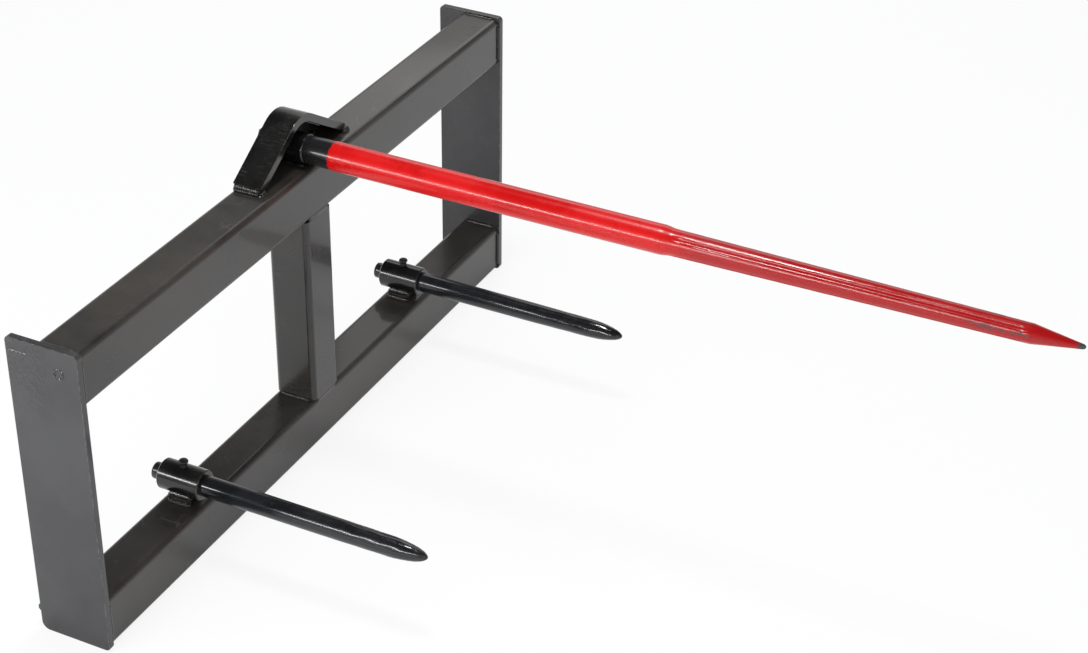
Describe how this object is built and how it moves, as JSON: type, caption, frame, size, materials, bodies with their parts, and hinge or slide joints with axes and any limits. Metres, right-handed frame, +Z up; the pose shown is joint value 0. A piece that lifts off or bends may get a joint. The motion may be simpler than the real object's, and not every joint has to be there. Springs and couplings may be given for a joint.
{
  "type": "bale spear",
  "caption": "Loader bale spear: a black welded box-tube frame with end plates, a long red main spear in a saddled sleeve and short black stabiliser spears.",
  "frame": {"origin": "midway between the two end plates, on the line of their lower rear edges, in the plane that goes against the loader's carrier", "axes": "+X along the frame's width to the right end plate, -Y the way the spears point, +Z up"},
  "size_m": [1.149, 1.2295, 0.541],
  "materials": {
    "frame_paint": "gloss black paint over hot rolled box tube",
    "plate_paint": "satin black paint over flat bar",
    "bracket_paint": "deep gloss black paint",
    "weld_paint": "gloss black paint over rippled weld beads",
    "red_paint": "gloss red paint over forged steel, bare at the root and the point",
    "stabiliser_paint": "gloss black paint over forged steel",
    "black_steel": "black oxide on steel fasteners"
  },
  "bodies": {
    "root": {"centre_post": "frame_paint", "centre_post_welds": "weld_paint", "end_plate_welds": "weld_paint", "left_end_plate": "plate_paint", "left_stabiliser_pad": "bracket_paint", "left_stabiliser_pin": "black_steel", "left_stabiliser_sleeve": "bracket_paint", "left_stabiliser_spear": "stabiliser_paint", "left_stabiliser_welds": "weld_paint", "lower_tube": "frame_paint", "main_sleeve": "bracket_paint", "main_sleeve_welds": "weld_paint", "main_spear": "red_paint", "main_spear_nut": "black_steel", "main_spear_washer": "black_steel", "rear_lug": "plate_paint", "rear_lug_weld": "weld_paint", "right_end_plate": "plate_paint", "right_stabiliser_pad": "bracket_paint", "right_stabiliser_pin": "black_steel", "right_stabiliser_sleeve": "bracket_paint", "right_stabiliser_spear": "stabiliser_paint", "right_stabiliser_welds": "weld_paint", "saddle_foot_welds": "weld_paint", "saddle_strap": "bracket_paint", "saddle_web": "bracket_paint", "saddle_web_welds": "weld_paint", "tube_end_welds": "weld_paint", "upper_tube": "frame_paint"}
  },
  "joints": []
}
